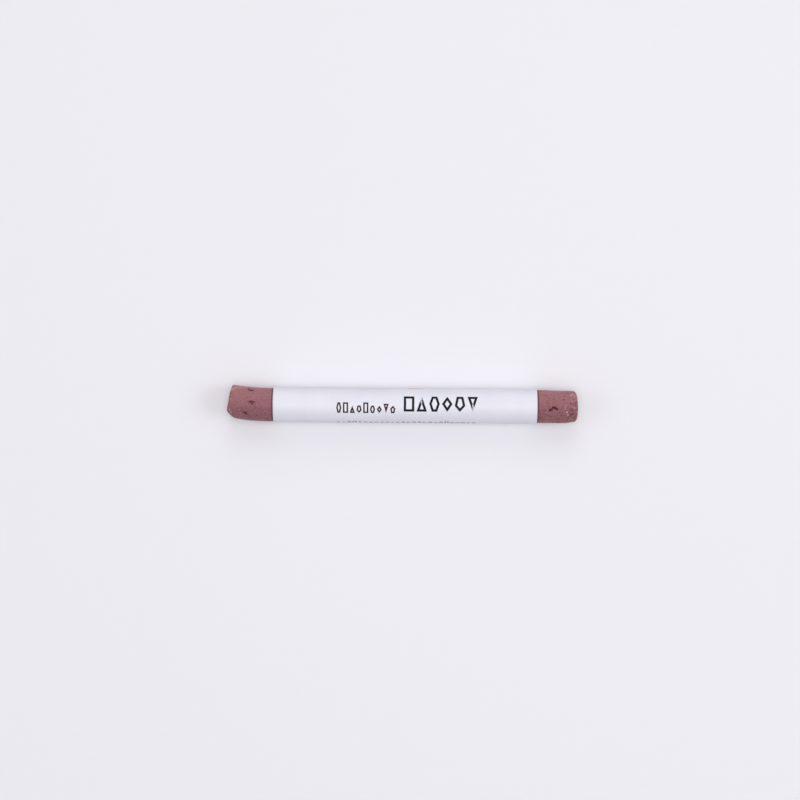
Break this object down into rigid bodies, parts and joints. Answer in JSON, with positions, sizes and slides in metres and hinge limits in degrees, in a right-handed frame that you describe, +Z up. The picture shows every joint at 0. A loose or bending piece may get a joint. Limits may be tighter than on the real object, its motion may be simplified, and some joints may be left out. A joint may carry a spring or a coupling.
{
  "type": "chalk stick",
  "caption": "Reddish-brown ceramic chalk stick lying on its side, one end bent, with a white paper label wrapped round its middle.",
  "frame": {"origin": "centre of the footprint, on the surface that the stick lies on", "axes": "+X along the labelled middle towards the straight bare end, +Z up, the other end bends towards +Y"},
  "size_m": [0.0886, 0.0093, 0.0086],
  "materials": {
    "chalk": "dry and matt, with fine drag lines and air pits",
    "label": "smooth white label paper with a slight sheen"
  },
  "bodies": {
    "root": {"chalk_stick": "chalk", "paper_label": "label"}
  },
  "joints": []
}
